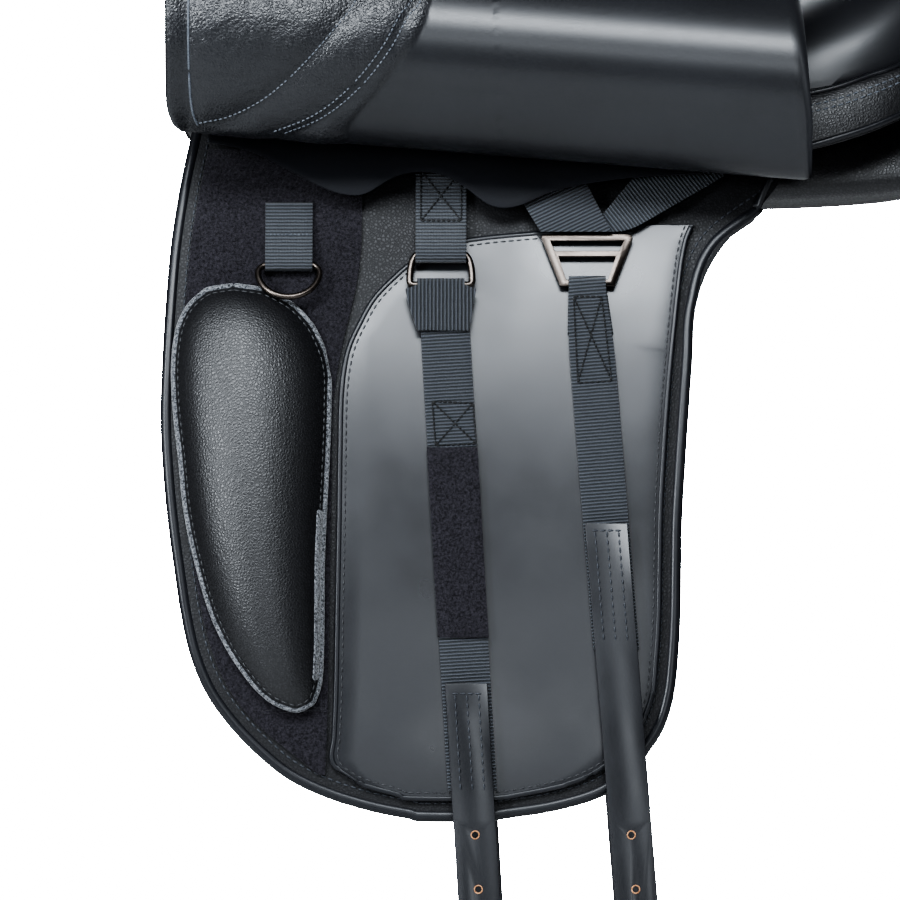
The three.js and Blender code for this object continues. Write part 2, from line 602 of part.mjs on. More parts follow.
function buildSkirts(side, name) {
  const { front, hinge, split, rear } = SKIRT;
  const seatLine = (x) => [seatHalfWidth(x) + 1.2, seatEdge(x) - 3];
  const hingeLine = (x) => {
    const share = (x - hinge) / (split - hinge);
    return [THREE.MathUtils.lerp(116, 145, share), THREE.MathUtils.lerp(86, 62, share)];
  };
  const lowerLine = (x) => [152, 40 - 0.085 * x];
  const frontLower = through([[-232, 96], [-200, 138], [-165, 154], [-121, 153]]);
  const frontLine = (x) => [frontLower(x), THREE.MathUtils.mapLinear(x, front, hinge, 82, 54)];
  const rearLower = through([[96, 31], [118, 31], [177, 50], [246, 92]]);
  const rearLine = (x) => [seatHalfWidth(x) + 1.2 + (seatEdge(x) - rearLower(x)) * 0.33, rearLower(x)];
  const pieces = [
    ["front_skirt", steps(front, hinge - 1, 5), seatLine, frontLine],
    ["skirt", steps(hinge + 1, split - 2, 7), hingeLine, lowerLine],
    ["rear_skirt", [...steps(split, 186, 4), 208, 228, 240, rear], seatLine, rearLine],
  ];
  for (const [piece, stations, top, low] of pieces) {
    add(`${name}_${piece}`, skirtSheet(side, stations, top, low), grainedLeather);
  }
}

function buildStirrupBar(side, name) {
  const { x, z, length, reach, height, stock } = BAR;
  const inner = seatHalfWidth(x + length / 2) - BAR.fromEdge;
  const outline = new THREE.Shape();
  outline.moveTo(0, 0);
  outline.lineTo(length, 0);
  outline.lineTo(length, stock - 1);
  outline.lineTo(stock, stock - 1);
  outline.lineTo(stock, reach - stock);
  outline.lineTo(length - BAR.catch, reach - stock);
  outline.lineTo(length - BAR.catch, reach);
  outline.lineTo(0, reach);
  outline.closePath();
  const geometry = new THREE.ExtrudeGeometry(outline, { depth: height, bevelEnabled: false });
  if (side < 0) {
    // Mirroring turns a solid inside out, so its triangles are turned round as well.
    geometry.scale(1, -1, 1);
    geometry.setIndex([...Array(geometry.attributes.position.count).keys()].reverse());
  }
  const bar = add(`${name}_stirrup_bar`, geometry, steel);
  bar.position.set(x - length / 2, side * inner, z - height);
  const latch = new THREE.BoxGeometry(BAR.catch - 1, stock - 1, height);
  const catchPiece = add(`${name}_stirrup_bar_catch`, latch, steel);
  catchPiece.position.set(x + length / 2 - BAR.catch / 2, side * (inner + reach - stock / 2), z - height / 2);
}

buildSeat();
buildGulletPlate();
for (const [side, name] of [[-1, "near"], [1, "off"]]) {
  buildPanel(side, name);
  buildSweatFlap(side, name);
  buildValance(side, name);
  buildKneeBlock(side, name);
  buildPointStrap(side, name);
  buildFrontStrap(side, name);
  buildRearStrap(side, name);
  buildOuterFlap(side, name);
  buildSkirts(side, name);
  buildStirrupBar(side, name);
}

export default saddle;
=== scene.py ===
# The looks of an english dressage saddle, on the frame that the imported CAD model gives.
#
# +Z is up, -X is towards the horse's head, and -Y is the near side. Blender works in metres, and the
# sizes below are in millimetres. Each piece at the saddle's side is made twice, from the near and the
# off CAD node: side is -1 on the near side and +1 on the off side. Lines on the saddle's side are (X, Z)
# points in millimetres, and they are cast onto the pieces that they lie on.
import json
import math

import bmesh
import bpy
import numpy as np
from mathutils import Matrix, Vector
from mathutils.bvhtree import BVHTree

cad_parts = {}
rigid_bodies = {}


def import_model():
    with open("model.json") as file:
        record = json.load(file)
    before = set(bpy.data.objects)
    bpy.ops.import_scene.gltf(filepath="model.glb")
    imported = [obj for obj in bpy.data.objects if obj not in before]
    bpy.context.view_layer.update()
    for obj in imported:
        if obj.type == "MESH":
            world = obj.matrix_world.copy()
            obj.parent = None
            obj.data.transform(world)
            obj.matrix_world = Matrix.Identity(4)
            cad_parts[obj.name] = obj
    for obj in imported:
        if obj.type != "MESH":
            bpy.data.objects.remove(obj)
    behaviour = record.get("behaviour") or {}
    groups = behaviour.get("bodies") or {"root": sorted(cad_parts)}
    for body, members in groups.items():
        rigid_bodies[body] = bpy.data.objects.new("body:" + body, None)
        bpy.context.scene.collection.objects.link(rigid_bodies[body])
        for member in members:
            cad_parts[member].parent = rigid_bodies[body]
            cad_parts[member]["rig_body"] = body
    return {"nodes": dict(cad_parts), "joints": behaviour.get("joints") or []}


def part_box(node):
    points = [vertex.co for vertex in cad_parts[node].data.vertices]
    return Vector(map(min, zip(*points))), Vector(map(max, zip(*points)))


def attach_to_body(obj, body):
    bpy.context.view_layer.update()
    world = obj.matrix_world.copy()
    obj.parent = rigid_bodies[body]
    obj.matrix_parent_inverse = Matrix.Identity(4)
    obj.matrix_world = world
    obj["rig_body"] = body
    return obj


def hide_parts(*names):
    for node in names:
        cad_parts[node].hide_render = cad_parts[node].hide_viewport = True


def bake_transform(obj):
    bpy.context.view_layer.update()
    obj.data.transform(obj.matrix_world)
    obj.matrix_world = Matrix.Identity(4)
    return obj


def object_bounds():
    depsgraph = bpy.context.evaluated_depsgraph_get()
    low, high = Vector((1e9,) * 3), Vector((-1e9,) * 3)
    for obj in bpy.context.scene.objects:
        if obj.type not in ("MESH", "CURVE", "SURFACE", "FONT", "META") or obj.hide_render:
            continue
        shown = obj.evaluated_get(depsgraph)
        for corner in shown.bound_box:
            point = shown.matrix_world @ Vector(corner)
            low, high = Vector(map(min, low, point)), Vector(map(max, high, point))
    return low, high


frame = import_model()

CAD_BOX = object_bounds()
MM = 0.001
SIDES = (("near", -1), ("off", 1))

# ---- the view and the light ----

VIEW_WIDTH = 531  # of the picture, at the girth straps
VIEW_CENTRE = (-88.5, -144.6)
CAMERA_X = -40  # a little to the rear, so that the off side straps hide behind the near ones
CAMERA_DISTANCE = 9000  # from the girth straps
SENSOR_WIDTH = 36
STRAP_PLANE = -180
FLOOR_DROP = 18  # of the floor under the billet tips
FLOOR_REACH = 1500
LIGHT_TARGET = (-90, STRAP_PLANE, -120)
LIGHT_COLOUR = (0.9, 0.95, 1.0)
ROOM_LIGHT = 0.06  # the white room's strength on the saddle
ROOM_WHITE = 60  # and as the camera sees it
# Each soft box has a name, an elevation, an azimuth, its distance, width and height in metres, and its
# power. Azimuth 0 is on the near side, and 90 at the saddle's rear.
SOFT_BOXES = (("high soft box", 39, -6, 3.2, 2.4, 0.8, 125),
              ("low soft box", 6, 7, 9.0, 3.0, 1.4, 110),
              ("front soft box", 16, -45, 3.0, 0.4, 1.5, 75),
              ("rear rim light", 38, 168, 3.0, 2.0, 1.0, 60))

# ---- lines, stitches and trims ----

SPAN_STEPS = 12  # of a smooth line between two of its points

# The length, pitch and radius of a stitch.
EDGE_STITCH = (3.4, 4.7, 0.6)
WEB_STITCH = (2.6, 3.1, 0.6)
TAB_STITCH = (1.6, 2.3, 0.6)
FLAP_STITCH = (2.2, 3.1, 0.55)
THREAD_RINGS = (0.35, 0.9, 1.0, 0.9, 0.35)  # the thickness along a stitch, as shares of its radius
THREAD_SIDES = 6
THREAD_LIFT = 0.1
GUARD_STITCH_LIFT = -0.15
WEB_STITCH_LIFT = 0.2

# Half the width and half the height of a trim's oval section, and its lift off the surface.
BINDING = (3.6, 3.1, -1.9)
GUARD_TRIM = (1.7, 1.0, -0.5)
PATCH_JOIN = (1.0, 0.5, 0.1)
WELT = (1.6, 1.4, 0.6)
SKIRT_HEM = (2.0, 1.8, 0.2)
BLOCK_EDGING = (2.0, 1.9, -0.2)
BLOCK_BAND = (3.2, 0.8, 0.1)
FLAP_PIPING = (0.75, 0.8, 0.1)
HOLE_RIM = (0.42, 0.35, 0.0)
TRIM_END = 0.45  # the size of a trim's tip, as a share of its section

# How far a line lies inside the outline of its piece.
BINDING_INSET = 0.55 * BINDING[0]
BINDING_STITCH_INSET = 9.5
GUARD_TRIM_INSET = 1.5
GUARD_STITCH_INSET = 4.7
BLOCK_EDGE_INSET = 1
BLOCK_STITCH_INSET = 3.6
BLOCK_BAND_INSET = 3.5
SKIRT_HEM_INSET = 3.5

# ---- lines on the saddle's side ----

REAR_WELT = [(118, 65), (140, 70), (160, 77), (177, 83), (210, 100)]
REAR_SKIRT_STITCHES = [(118, 58), (140, 63), (160, 70), (177, 77), (208, 94)]
REAR_SKIRT_ROW_GAP = 4
PATCH_JOINS = [[(-222, -263), (-161, -259)], [(-200, -299), (-161, -297)]]
BLOCK_BAND_ENDS = (-282, -170)  # the heights of the brushed band on the knee block's rear edge
BLOCK_TIP = 0.5  # of the knee block's outline past its last corners

# ---- straps ----

FRONT_SLOPE = 0.06  # how far a strap moves back for each millimetre that it drops
REAR_SLOPE = 0.081
V_FRONT_ARM = (-13, 27)  # the directions of the two arms of the V web
V_REAR_ARM = (32, 25)
RING_SWELL = 0.25
ANCHOR_BOX = [(-106, 21), (-82, 21), (-82, -9), (-106, -9)]
FRONT_WEB_BOX = [(-99, -116), (-75, -117), (-73, -141), (-97, -142)]
REAR_WEB_BOX = [(-15.5, -54), (1, -54), (7, -104), (-13, -105)]
POINT_TAB_STITCHES = [(-196, -17), (-172, -17)]
BILLET_HALF_WIDTH = 12.5
BILLET_ROWS = (-7, 0, 7)
BILLET_CROSS_ROW = 9  # half the length of the row across a billet's top
FRONT_BILLET_STITCHES = (-288, -345)
REAR_BILLET_STITCHES = (-192, -257)
# The heights of a billet's holes, and the size and points of the rims drawn round them.
HOLES = {"lowest": -563, "pitch": 32, "count": 7, "radius": 2.3, "points": 25}

# ---- outer flap ----

FLAP_FRONT = -258
FLAP_THICKNESS = 3.6
FLAP_STEP = 2  # of its mesh, up its height and near its quilted front
FLAP_FINE_END = -60  # where the wider columns of its rear begin
FLAP_REAR_COLUMNS = 40
FLAP_ROOT = (-7.6, 22.8)  # from the first fold to the hidden edge, outwards and up
FLAP_TIP_INSET = 3
FOLD_SAG = (3, 5)  # of the first and the second bend, under their folds
BEND_STEPS = (14, 20, 30)  # of the curves of the three bends
LEAF_STEP = 3
FLAP_FRONT_BAND = 15  # width of the plain band along its front edge
ROLL_CORNER = {"from": 46, "height": 24, "inset": 13}  # the rounded corner at the front of the roll
LEAF_CORNER_RADIUS = 95
LEAF_NARROWING = 22
LEAF = 2  # the number of the part that stands up
FLAP_NODES = (("flap_root", "flap_roll_inner"), ("flap_roll_outer",), ("outer_flap",))
FLAP_FOLDS = ("flap_turn_down", "flap_roll_open", "flap_unroll")

QUILT = {"rise": 4, "base": 1.0, "step": 1.2, "taper": 14}  # its padding, and how it ends at its edge
PINCH = {"depth": 0.75, "reach": 8, "power": 1.2}  # how a seam draws the padding in
GRAIN = {"margin": 3, "fade": 8, "least": 0.35}  # how the grain fades towards the stitches
QUILT_LINE_STEP = 3
QUILT_FADE_ROWS = 10  # at the bottom of the roll
QUILT_SEAM = [(-237, 48), (-218, 52), (-198, 62), (-182, 75), (-169, 88), (-157, 102), (-143, 121),
              (-128, 160), (-119, 205), (-116, 260)]
QUILT_STITCHES = [(-192, 40), (-164, 51), (-142, 68), (-124, 90), (-113, 110), (-105, 121),
                  (-92, 160), (-84, 205), (-81, 260)]
QUILT_SECOND_ROW = (-4.5, 1.5)  # from the first row of stitches
QUILT_EDGE = [(-150, 24), (-150, 38), (-148, 48), (-130, 69), (-107, 101), (-100, 121),
              (-86, 160), (-78, 205), (-75, 262)]
QUILT_BOTTOM = 27
QUILT_TOP = 255
FRONT_PIPING = [(-236, 44), (-241, 62), (-242, 120), (-240, 200)]

# ---- textures ----

WAVE_PERIOD = 0.314  # of the Wave texture's bands, at scale 1
YARN_PITCH = 0.9  # of the yarns in the webbing


# ---- flat lines and surfaces ----

def smooth_line(points, step=1.0):
    """A Catmull-Rom line through flat or solid points, with points a step apart."""
    p = np.array(points, float)
    p = np.vstack([2 * p[0] - p[1], p, 2 * p[-1] - p[-2]])
    t = np.linspace(0, 1, SPAN_STEPS, endpoint=False)[:, None]
    line = []
    for a, b, c, d in zip(p, p[1:], p[2:], p[3:]):
        line.append(0.5 * (2 * b + (c - a) * t + (2 * a - 5 * b + 4 * c - d) * t ** 2
                           + (3 * b - a - 3 * c + d) * t ** 3))
    return resample(np.vstack([*line, p[-2][None]]), step)


def resample(line, step):
    """The same line with its points evenly spread, about a step apart."""
    line = np.array(line, float)
    along = np.concatenate([[0], np.cumsum(np.linalg.norm(np.diff(line, axis=0), axis=1))])
    wanted = np.linspace(0, along[-1], max(2, int(round(along[-1] / step)) + 1))
    return np.column_stack([np.interp(wanted, along, line[:, k]) for k in range(line.shape[1])])


def directions(line):
    """The unit directions along a line, one for each of its points."""
    along = np.gradient(line, axis=0)
    return along / np.linalg.norm(along, axis=1)[:, None]


def inset(line, distance):
    """A flat line moved sideways, to the left of its direction."""
    along = directions(line)
    return line + distance * np.column_stack([-along[:, 1], along[:, 0]])


def edges(node):
    """The front and the rear edge of a side panel, as (X, Z) points in millimetres from top to bottom."""
    rows = {}
    for vertex in frame["nodes"][node].data.vertices:
        rows.setdefault(round(vertex.co.z / MM, 1), []).append(vertex.co.x / MM)
    heights = sorted(rows, reverse=True)
    return [(min(rows[z]), z) for z in heights], [(max(rows[z]), z) for z in heights]


def rim(node, step=1.0):
    """The edge of a side panel, down the front and up the rear, in millimetres."""
    front, rear = edges(node)
    return smooth_line(front + rear[::-1], step)


class Surface:
    """The outside of a piece, to cast lines onto."""

    def __init__(self, side, piece):
        self.side = side
        points = [v.co for v in piece.data.vertices]
        self.tree = BVHTree.FromPolygons(points, [p.vertices for p in piece.data.polygons])

    def cast(self, line, lift=0.0):
        """The points of a flat line on the surface, and the surface's directions there."""
        points, normals = [], []
        for x, z in line:
            start = Vector((x * MM, self.side, z * MM))
            place, normal = self.tree.ray_cast(start, Vector((0, -self.side, 0)))[:2]
            if place is None:
                continue
            if normal.y * self.side < 0:
                normal = -normal
            points.append(place + normal * lift * MM)
            normals.append(normal)
        return np.array(points), np.array(normals)


# ---- meshes ----

def add_object(name, mesh, material):
    mesh.materials.append(material)
    mesh.shade_smooth()
    piece = bpy.data.objects.new(name, mesh)
    bpy.context.scene.collection.objects.link(piece)
    return piece


def new_piece(name, points, faces, material):
    mesh = bpy.data.meshes.new(name)
    mesh.from_pydata([tuple(p) for p in points], [], faces)
    return add_object(name, mesh, material)


def apply_modifiers(piece):
    graph = bpy.context.evaluated_depsgraph_get()
    mesh = bpy.data.meshes.new_from_object(piece.evaluated_get(graph))
    piece.modifiers.clear()
    piece.data = mesh


def creased_mesh(node, name, sharp, flat_faces):
    """A CAD node's mesh with its triangles joined and creases on the edges sharper than an angle."""
    shape = bmesh.new()
    shape.from_mesh(frame["nodes"][node].data)
    bmesh.ops.remove_doubles(shape, verts=shape.verts, dist=1e-5)
    bmesh.ops.join_triangles(shape, faces=shape.faces, angle_face_threshold=math.radians(40),
                             angle_shape_threshold=math.radians(180))
    if flat_faces:
        bmesh.ops.dissolve_limit(shape, angle_limit=math.radians(0.5), verts=shape.verts, edges=shape.edges)
    crease = shape.edges.layers.float.new("crease_edge")
    for edge in shape.edges:
        if len(edge.link_faces) == 2 and edge.calc_face_angle(0) > math.radians(sharp):
            edge[crease] = 1.0
    mesh = bpy.data.meshes.new(name)
    shape.to_mesh(mesh)
    shape.free()
    return mesh


def smooth_copy(node, name, material, levels=2, bevel=0.4, sharp=50):
    """A copy of a CAD node with rounded faces, and with its sharp edges kept but softened."""
    piece = add_object(name, creased_mesh(node, name, sharp, not levels), material)
    if levels:
        piece.modifiers.new("rounding", "SUBSURF").levels = levels
    if bevel:
        soft = piece.modifiers.new("edges", "BEVEL")
        soft.width = bevel * MM
        soft.segments = 2
        soft.harden_normals = not levels
        soft.limit_method = "ANGLE"
        soft.angle_limit = math.radians(sharp)
    apply_modifiers(piece)
    return piece


def swell(piece, distance):
    """Moves a piece's surface out, to give back what the rounding took off."""
    push = piece.modifiers.new("swelling", "DISPLACE")
    push.strength = distance * MM
    push.mid_level = 0
    apply_modifiers(piece)


def lay_texture(piece, along):
    """Gives a piece texture coordinates in metres: U across and V along a direction in X and Z."""
    direction = np.array([along[0], along[1]], float)
    direction /= np.linalg.norm(direction)
    mesh = piece.data
    layer = mesh.uv_layers.new(name="laid")
    for loop in mesh.loops:
        co = mesh.vertices[loop.vertex_index].co
        layer.data[loop.index].uv = (co.x * direction[1] - co.z * direction[0],
                                     co.x * direction[0] + co.z * direction[1])


def tube(name, line, normals, section, material, sides=10, end_size=TRIM_END):
    """A cord of oval section along a line in metres. section starts with its half width and height."""
    width, height = section[:2]
    across = np.cross(directions(line), normals)
    across /= np.linalg.norm(across, axis=1)[:, None]
    turns = np.linspace(0, math.tau, sides, endpoint=False)
    size = np.ones(len(line))
    size[[0, -1]] = end_size
    points = []
    for p, a, n, s in zip(line, across, normals, size):
        for turn in turns:
            points.append(p + s * MM * (a * width * math.cos(turn) + n * height * math.sin(turn)))
    faces = []
    for i in range(len(line) - 1):
        for j in range(sides):
            k = (j + 1) % sides
            faces.append((i * sides + j, i * sides + k, (i + 1) * sides + k, (i + 1) * sides + j))
    faces.append(tuple(range(sides)))
    faces.append(tuple((len(line) - 1) * sides + j for j in reversed(range(sides))))
    return new_piece(name, points, faces, material)


def stitches(name, lines, material, stitch):
    """Sewn lines as one mesh of short threads. lines holds pairs of points and normals, in metres."""
    length, pitch, radius = stitch
    points, faces = [], []
    for line, normals in lines:
        if len(line) < 2:
            continue
        # The directions are scaled down here, so that only places count towards the pitch.
        spots = resample(np.hstack([line, normals * 1e-4]), pitch * MM)
        for start, end in zip(spots, spots[1:]):
            add_thread(points, faces, start, end, length, radius)
    return new_piece(name, points, faces, material)


def add_thread(points, faces, start, end, length, radius):
    """Adds one short thread between two spots. A spot is a place and the surface's direction there."""
    middle = (start[:3] + end[:3]) / 2
    along = end[:3] - start[:3]
    along /= np.linalg.norm(along)
    up = start[3:] / np.linalg.norm(start[3:])
    across = np.cross(along, up)
    base = len(points)
    for k, size in enumerate(THREAD_RINGS):
        share = k / (len(THREAD_RINGS) - 1) - 0.5
        centre = middle + along * share * length * MM + up * THREAD_LIFT * MM
        for turn in range(THREAD_SIDES):
            angle = turn * math.tau / THREAD_SIDES
            spread = across * math.cos(angle) + up * math.sin(angle)
            points.append(centre + spread * size * radius * MM)
    for ring in range(base, len(points) - THREAD_SIDES, THREAD_SIDES):
        for turn in range(THREAD_SIDES):
            a, b = ring + turn, ring + (turn + 1) % THREAD_SIDES
            faces.append((a, b, b + THREAD_SIDES, a + THREAD_SIDES))


def box_with_cross(corners):
    """The lines of a sewn box with a cross in it."""
    a, b, c, d = corners
    return [[a, b], [b, c], [c, d], [d, a], [a, c], [b, d]]


def attach(piece, node=None, body=None):
    """Lets the piece ride on its body, in place of a node if one is given."""
    if node:
        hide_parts(node)
        body = frame["nodes"][node]["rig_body"]
    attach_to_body(piece, body)
    return piece


def dress(node, name, material, slot, **rounding):
    """A rounded copy of a CAD node, which stands for it."""
    return attach(smooth_copy(node, name, material, **rounding), node)


def trim(name, surface, line, section, material, body="saddle", sides=10):
    """A cord along a line on a surface."""
    places, normals = surface.cast(line, section[2])
    return attach(tube(name, places, normals, section, material, sides), body=body)


def sew(name, surface, lines, material, stitch=EDGE_STITCH, body="saddle", lift=0.0):
    """Rows of stitches along lines on a surface."""
    sewn = [surface.cast(line, lift) for line in lines]
    return attach(stitches(name, sewn, material, stitch), body=body)


# ---- materials ----

class Finish:
    """A material that is built up from textures, laid in the object's own space or by its UVs."""

    def __init__(self, name, roughness, metallic=0.0, sheen=0.0, specular=0.5):
        self.material = bpy.data.materials.new(name)
        self.material.use_nodes = True
        self.nodes = self.material.node_tree.nodes
        self.links = self.material.node_tree.links
        self.shader = self.nodes["Principled BSDF"]
        self.shader.inputs["Roughness"].default_value = roughness
        self.shader.inputs["Metallic"].default_value = metallic
        self.shader.inputs["Sheen Weight"].default_value = sheen
        self.shader.inputs["Sheen Roughness"].default_value = 0.5
        self.shader.inputs["Specular IOR Level"].default_value = specular
        self.place = self.nodes.new("ShaderNodeTexCoord")
        self.normal = None

    def texture(self, kind, space="Object", output=0, **settings):
        """A texture's output. A setting is a socket of the node, or else one of its properties."""
        node = self.nodes.new(f"ShaderNodeTex{kind}")
        self.links.new(self.place.outputs[space], node.inputs["Vector"])
        for key, value in settings.items():
            if key in node.inputs:
                node.inputs[key].default_value = value
            else:
                setattr(node, key, value)
        return node.outputs[output]

    def ramp(self, value, low, high, start=0.0, end=1.0):
        """Maps a value that runs from start to end onto low to high."""
        node = self.nodes.new("ShaderNodeMapRange")
        self.links.new(value, node.inputs["Value"])
        for key, number in (("From Min", start), ("From Max", end), ("To Min", low), ("To Max", high)):
            node.inputs[key].default_value = number
        return node.outputs["Result"]

    def colours(self, share, first, second):
        """Mixes two base colours. The Mix node's colour sockets go by number: 6 and 7 in, 2 out."""
        node = self.nodes.new("ShaderNodeMix")
        node.data_type = "RGBA"
        self.links.new(share, node.inputs["Factor"])
        node.inputs[6].default_value = (*first, 1)
        node.inputs[7].default_value = (*second, 1)
        self.links.new(node.outputs[2], self.shader.inputs["Base Color"])

    def bump(self, height, distance, strength=1.0):
        """Adds relief. distance is its depth in millimetres, and strength a number or a socket."""
        node = self.nodes.new("ShaderNodeBump")
        node.inputs["Distance"].default_value = distance * MM
        if isinstance(strength, float):
            node.inputs["Strength"].default_value = strength
        else:
            self.links.new(strength, node.inputs["Strength"])
        self.links.new(height, node.inputs["Height"])
        if self.normal:
            self.links.new(self.normal, node.inputs["Normal"])
        self.normal = node.outputs["Normal"]
        self.links.new(self.normal, self.shader.inputs["Normal"])

    def rough(self, value):
        self.links.new(value, self.shader.inputs["Roughness"])


def smooth_leather(name="smooth leather", roughness=0.36, specular=0.6):
    """Close, satin hide with faint pores and slow changes of sheen."""
    finish = Finish(name, roughness, specular=specular)
    clouds = finish.texture("Noise", Scale=14.0, Detail=3.0)
    pores = finish.texture("Noise", Scale=900.0, Detail=4.0, Roughness=0.7)
    creases = finish.texture("Noise", Scale=45.0, Detail=3.0)
    finish.colours(clouds, (0.009, 0.0095, 0.0115), (0.017, 0.018, 0.022))
    finish.rough(finish.ramp(clouds, roughness - 0.05, roughness + 0.07, 0.3, 0.7))
    finish.bump(creases, 0.08, 0.3)
    finish.bump(pores, 0.03, 0.4)
    return finish.material


def grain(finish, strength=1.0, scale=520.0):
    """The pebbled grain of drum-dyed hide: raised cells with creases between them."""
    cells = finish.texture("Voronoi", feature="DISTANCE_TO_EDGE", Scale=scale, Randomness=1.0)
    pebbles = finish.ramp(cells, 0.0, 1.0, 0.0, 0.32)
    folds = finish.texture("Noise", Scale=170.0, Detail=5.0, Roughness=0.6)
    finish.bump(folds, 0.4, strength)
    finish.bump(pebbles, 0.22, strength)
    return pebbles


def grained_leather(name="grained leather", roughness=0.34, specular=0.6):
    finish = Finish(name, roughness, specular=specular)
    pebbles = grain(finish, 0.45)
    finish.colours(pebbles, (0.006, 0.006, 0.007), (0.014, 0.014, 0.016))
    finish.rough(finish.ramp(pebbles, roughness + 0.16, roughness))
    return finish.material


def flap_leather():
    """Satin hide that turns to grained hide where the mesh's grain attribute is 1."""
    finish = Finish("outer flap leather", 0.34, specular=0.6)
    mask = finish.nodes.new("ShaderNodeAttribute")
    mask.attribute_name = "grain"
    pores = finish.texture("Noise", Scale=900.0, Detail=4.0, Roughness=0.7)
    wrinkles = finish.texture("Noise", Scale=38.0, Detail=5.0, Distortion=1.2)
    clouds = finish.texture("Noise", Scale=12.0, Detail=2.0)
    finish.colours(clouds, (0.011, 0.0115, 0.013), (0.019, 0.020, 0.024))
    finish.rough(finish.ramp(pores, 0.28, 0.40, 0.3, 0.7))
    finish.bump(wrinkles, 1.3, mask.outputs["Fac"])
    grain(finish, finish.ramp(mask.outputs["Fac"], 0.0, 0.7), 480.0)
    finish.bump(pores, 0.03, 0.4)
    return finish.material


# shade scales both colours down: below 1 it is painted shade.
def webbing(name="webbing", pitch=2.0, shade=1.0):
    """Woven nylon with a rib across the strap every pitch millimetres."""
    finish = Finish(name, 0.55, sheen=0.25, specular=0.45)
    ribs = finish.texture("Wave", "UV", 1, wave_type="BANDS", bands_direction="Y", wave_profile="SIN",
                          Scale=WAVE_PERIOD / (pitch * MM), Distortion=0.6, Detail=1.0)
    yarns = finish.texture("Wave", "UV", 1, wave_type="BANDS", bands_direction="X", wave_profile="SIN",
                           Scale=WAVE_PERIOD / (YARN_PITCH * MM), Distortion=1.5, Detail=2.0)
    # The colour follows the ribs, dark in the grooves and light on the crests: painted shade and painted
    # highlight on top of the rib bump.
    finish.colours(ribs, tuple(shade * c for c in (0.006, 0.007, 0.009)),
                   tuple(shade * c for c in (0.062, 0.070, 0.084)))
    finish.bump(ribs, 0.75, 1.0)
    finish.bump(yarns, 0.2, 0.6)
    return finish.material


def hook_and_loop():
    """A dense pile of loops that scatters light and shows no highlights."""
    finish = Finish("hook and loop pile", 0.95, sheen=0.18, specular=0.15)
    pile = finish.texture("Noise", Scale=650.0, Detail=4.0, Roughness=0.85)
    tufts = finish.texture("Noise", Scale=260.0, Detail=4.0, Roughness=0.7)
    finish.colours(finish.ramp(pile, 0.0, 1.0, 0.35, 0.7), (0.002, 0.0016, 0.003), (0.045, 0.042, 0.052))
    finish.bump(tufts, 1.2, 1.0)
    finish.bump(pile, 0.8, 1.0)
    return finish.material


def fuzz(name, dark, light):
    """A brushed cloth edge, lighter on its raised fibres."""
    finish = Finish(name, 0.85, sheen=0.4, specular=0.2)
    fibres = finish.texture("Noise", Scale=800.0, Detail=3.0, Roughness=0.8)
    finish.colours(finish.ramp(fibres, 0.0, 1.0, 0.4, 0.65), dark, light)
    finish.bump(fibres, 0.6, 1.0)
    return finish.material


def metal(name, colour, worn, roughness):
    finish = Finish(name, roughness, metallic=1.0)
    clouds = finish.texture("Noise", Scale=120.0, Detail=4.0)
    specks = finish.texture("Noise", Scale=1500.0, Detail=3.0)
    finish.colours(clouds, colour, worn)
    finish.rough(finish.ramp(specks, roughness - 0.06, roughness + 0.1, 0.3, 0.7))
    finish.bump(specks, 0.03, 0.4)
    return finish.material


def plain(name, dark, light, roughness, scale):
    """A mottled finish with no grain: for the tree, foam, thread, raw edges and the floor."""
    finish = Finish(name, roughness)
    mottle = finish.texture("Noise", Scale=scale, Detail=5.0)
    finish.colours(finish.ramp(mottle, 0.0, 1.0, 0.35, 0.65), dark, light)
    finish.bump(mottle, 0.2, 0.6)
    return finish.material


SMOOTH = smooth_leather()
SATIN = smooth_leather("girth guard leather", 0.31)
BOUND = smooth_leather("edge binding leather", 0.34, 0.4)
DULL = smooth_leather("valance leather", 0.55, 0.12)
GRAINED = grained_leather()
BASE = grained_leather("sweat flap leather", 0.45, 0.35)
FLAP = flap_leather()
WEB = webbing()
# The folded collar's webbing: ribs a little wider apart, and colours darkened as painted shade.
WEB_PAINTED_SHADE = webbing("webbing, folded, painted shade", 2.2, 0.8)
SEWING = plain("web thread", (0.002, 0.002, 0.002), (0.012, 0.012, 0.013), 0.6, 1500.0)
PILE = hook_and_loop()
EDGING = fuzz("brushed edging", (0.012, 0.013, 0.015), (0.26, 0.27, 0.29))
GUNMETAL = metal("gunmetal", (0.075, 0.064, 0.057), (0.13, 0.112, 0.10), 0.33)
STEEL = metal("steel", (0.42, 0.43, 0.44), (0.52, 0.53, 0.54), 0.34)
THREAD = plain("black thread", (0.010, 0.010, 0.011), (0.045, 0.047, 0.052), 0.5, 1500.0)
BLUE_THREAD = plain("blue-grey thread", (0.05, 0.058, 0.072), (0.15, 0.165, 0.19), 0.5, 1500.0)
DARK_BLUE_THREAD = plain("dark blue thread", (0.014, 0.016, 0.021), (0.05, 0.056, 0.068), 0.5, 1500.0)
RAW_EDGE = plain("raw leather", (0.32, 0.14, 0.06), (0.55, 0.30, 0.16), 0.7, 900.0)
TREE = plain("tree laminate", (0.02, 0.02, 0.02), (0.05, 0.05, 0.05), 0.5, 200.0)
FOAM = plain("seat foam", (0.10, 0.10, 0.105), (0.18, 0.18, 0.185), 0.95, 700.0)


# ---- seat, tree and panels ----

def build_middle():
    seat = dress("seat_cover", "seat_leather", SMOOTH, "smooth_leather")
    for node, material in (("seat_foam", FOAM), ("tree", TREE), ("gullet_plate", STEEL)):
        frame["nodes"][node].data.materials.clear()
        frame["nodes"][node].data.materials.append(material)


def build_panel(name):
    pad = dress(f"{name}_panel", f"{name}_panel_pad", GRAINED, "grained_leather", sharp=80)


